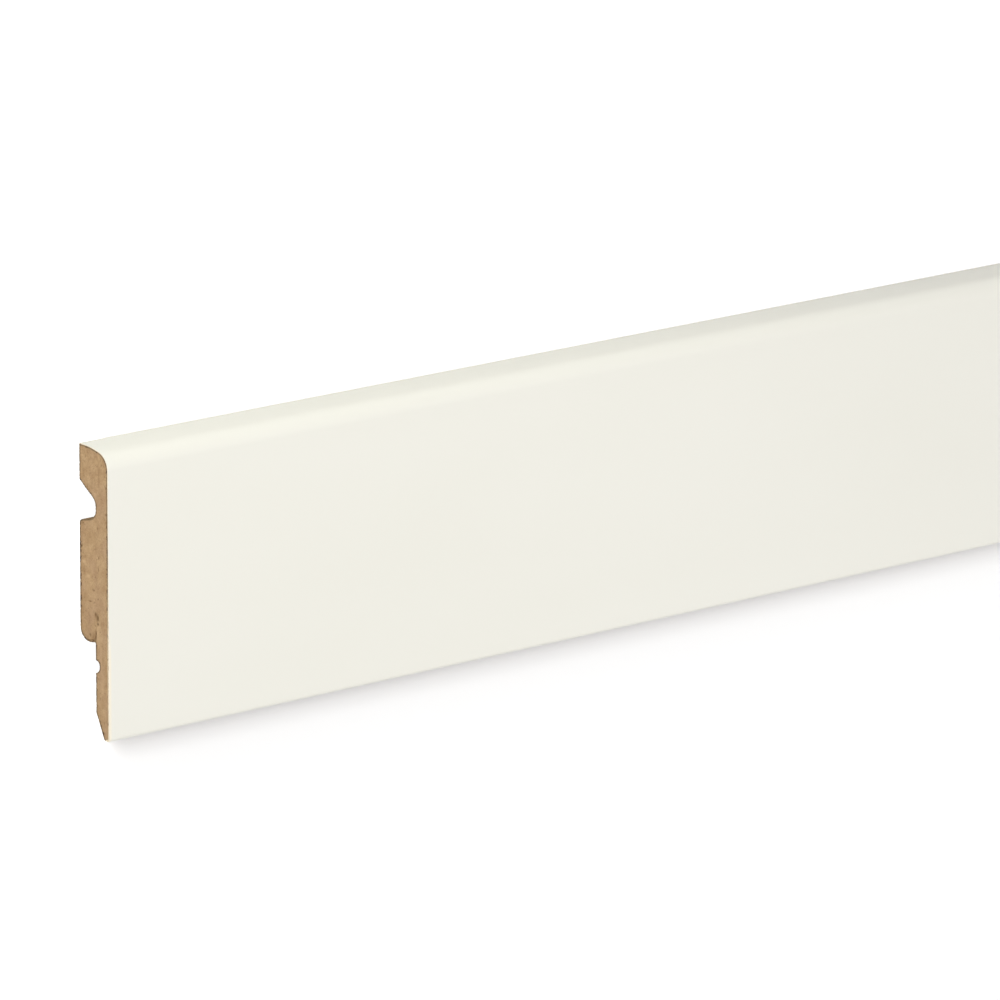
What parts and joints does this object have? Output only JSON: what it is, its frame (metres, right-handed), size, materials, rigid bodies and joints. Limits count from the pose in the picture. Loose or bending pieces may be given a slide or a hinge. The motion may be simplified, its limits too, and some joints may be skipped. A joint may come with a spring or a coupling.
{
  "type": "skirting board length",
  "caption": "Flat skirting board with a sloping, rounded top edge, a thin bottom lip, and a clip notch and cable recess in its back; satin off-white film on the faces seen in use.",
  "frame": {"origin": "centre of the board's box, on the plane of its back, which is the plane it lies on", "axes": "+X along the length, +Y across the board toward its rounded top edge, +Z out of the finished front"},
  "size_m": [2.4, 0.09, 0.012],
  "materials": {
    "mdf": "raw milled fibreboard, matt",
    "film": "off-white satin wrapping film"
  },
  "bodies": {
    "root": {"mdf_core": "mdf", "wrap_film": "film"}
  },
  "joints": []
}
